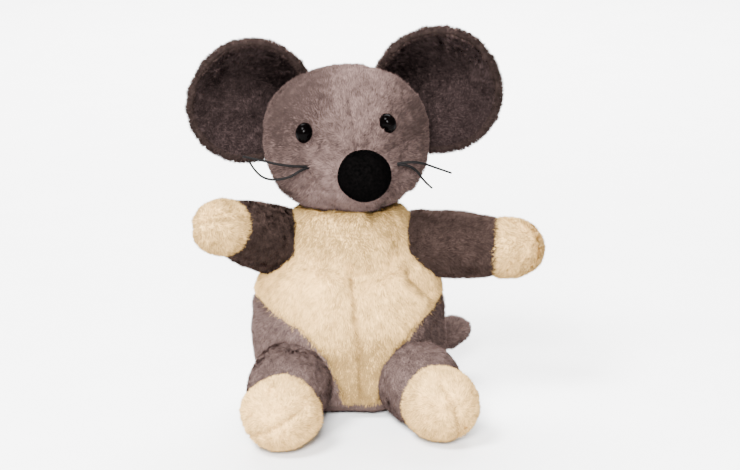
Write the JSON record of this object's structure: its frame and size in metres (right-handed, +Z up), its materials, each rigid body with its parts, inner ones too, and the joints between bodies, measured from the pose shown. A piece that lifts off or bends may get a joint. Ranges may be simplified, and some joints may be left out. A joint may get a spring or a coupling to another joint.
{
  "type": "hand puppet",
  "caption": "Sitting plush mouse hand puppet with round ears, cream belly, paws and feet, and a lined hand pocket open at the back.",
  "frame": {"origin": "on the table at the middle of the seat", "axes": "+Z up, the face looks towards -Y, +X is to the right as seen from in front"},
  "size_m": [0.2127, 0.1683, 0.229],
  "materials": {
    "taupe_plush": "short pile plush",
    "dark_taupe_plush": "short pile plush",
    "cream_plush": "soft pile plush",
    "cotton_lining": "plain woven cotton",
    "hem_tape": "folded binding tape",
    "fibre_fill": "polyester fibre filling",
    "eye_plastic": "polished black",
    "washer_plastic": "moulded",
    "flocked_nose": "black flock",
    "whisker_thread": "waxed black thread"
  },
  "bodies": {
    "torso": {"chest_panel": "cream_plush", "belly_left_panel": "cream_plush", "belly_right_panel": "cream_plush", "hip_left_panel": "dark_taupe_plush", "hip_right_panel": "dark_taupe_plush", "back_left_panel": "dark_taupe_plush", "back_right_panel": "dark_taupe_plush", "base_panel": "dark_taupe_plush", "hand_lining": "cotton_lining", "opening_hem": "hem_tape", "torso_stuffing": "fibre_fill"},
    "neck": {"neck_tube": "cotton_lining"},
    "head": {"face_left_panel": "taupe_plush", "face_right_panel": "taupe_plush", "chin_panel": "taupe_plush", "head_back_panel": "taupe_plush", "head_stuffing": "fibre_fill", "head_finger_pocket": "cotton_lining", "left_eye": "eye_plastic", "right_eye": "eye_plastic", "eye_washers": "washer_plastic", "nose": "flocked_nose", "nose_washer": "washer_plastic", "left_whiskers": "whisker_thread", "right_whiskers": "whisker_thread"},
    "left_ear": {"left_ear_front": "dark_taupe_plush", "left_ear_back": "taupe_plush"},
    "right_ear": {"right_ear_front": "dark_taupe_plush", "right_ear_back": "taupe_plush"},
    "tail": {"tail_sleeve": "dark_taupe_plush", "tail_stuffing": "fibre_fill"},
    "left_arm": {"left_arm_sleeve": "dark_taupe_plush", "left_paw": "cream_plush", "left_arm_stuffing": "fibre_fill"},
    "left_leg": {"left_leg_sleeve": "dark_taupe_plush", "left_foot": "cream_plush", "left_leg_stuffing": "fibre_fill"},
    "right_arm": {"right_arm_sleeve": "dark_taupe_plush", "right_paw": "cream_plush", "right_arm_stuffing": "fibre_fill"},
    "right_leg": {"right_leg_sleeve": "dark_taupe_plush", "right_foot": "cream_plush", "right_leg_stuffing": "fibre_fill"}
  },
  "joints": [
    {"name": "head_turn", "type": "hinge", "parent": "torso", "child": "neck", "pos_m": [0, -0.006, 0.1185], "axis": [0, 0, 1], "range_deg": [-30, 30], "stiffness_Nm_per_rad": 0.12},
    {"name": "head_nod", "type": "hinge", "parent": "neck", "child": "head", "pos_m": [0, -0.006, 0.135], "axis": [1, 0, 0], "range_deg": [-12, 12], "stiffness_Nm_per_rad": 0.25},
    {"name": "left_ear_fold", "type": "hinge", "parent": "head", "child": "left_ear", "pos_m": [-0.038, 0.006, 0.18], "axis": [-0.3511, 0, -0.9363], "range_deg": [-10, 16], "stiffness_Nm_per_rad": 0.05},
    {"name": "right_ear_fold", "type": "hinge", "parent": "head", "child": "right_ear", "pos_m": [0.034, 0.006, 0.183], "axis": [0.5185, 0, -0.8551], "range_deg": [-16, 10], "stiffness_Nm_per_rad": 0.05},
    {"name": "left_arm_lift", "type": "hinge", "parent": "torso", "child": "left_arm", "pos_m": [-0.041, -0.008, 0.102], "axis": [-0.7757, 0.6311, 0], "range_deg": [-18, 14], "stiffness_Nm_per_rad": 0.12},
    {"name": "right_arm_lift", "type": "hinge", "parent": "torso", "child": "right_arm", "pos_m": [0.041, -0.006, 0.101], "axis": [-0.0512, -0.9987, 0], "range_deg": [-18, 22], "stiffness_Nm_per_rad": 0.12},
    {"name": "left_leg_lift", "type": "hinge", "parent": "torso", "child": "left_leg", "pos_m": [-0.033, -0.037, 0.025], "axis": [-0.9942, 0.1074, 0], "range_deg": [-2, 28], "stiffness_Nm_per_rad": 0.12},
    {"name": "right_leg_lift", "type": "hinge", "parent": "torso", "child": "right_leg", "pos_m": [0.0365, -0.0275, 0.025], "axis": [-0.9323, -0.3618, 0], "range_deg": [-2, 28], "stiffness_Nm_per_rad": 0.12},
    {"name": "tail_sweep", "type": "hinge", "parent": "torso", "child": "tail", "pos_m": [0.01, 0.043, 0.012], "axis": [0, 0, 1], "range_deg": [-8, 40], "stiffness_Nm_per_rad": 0.05}
  ]
}
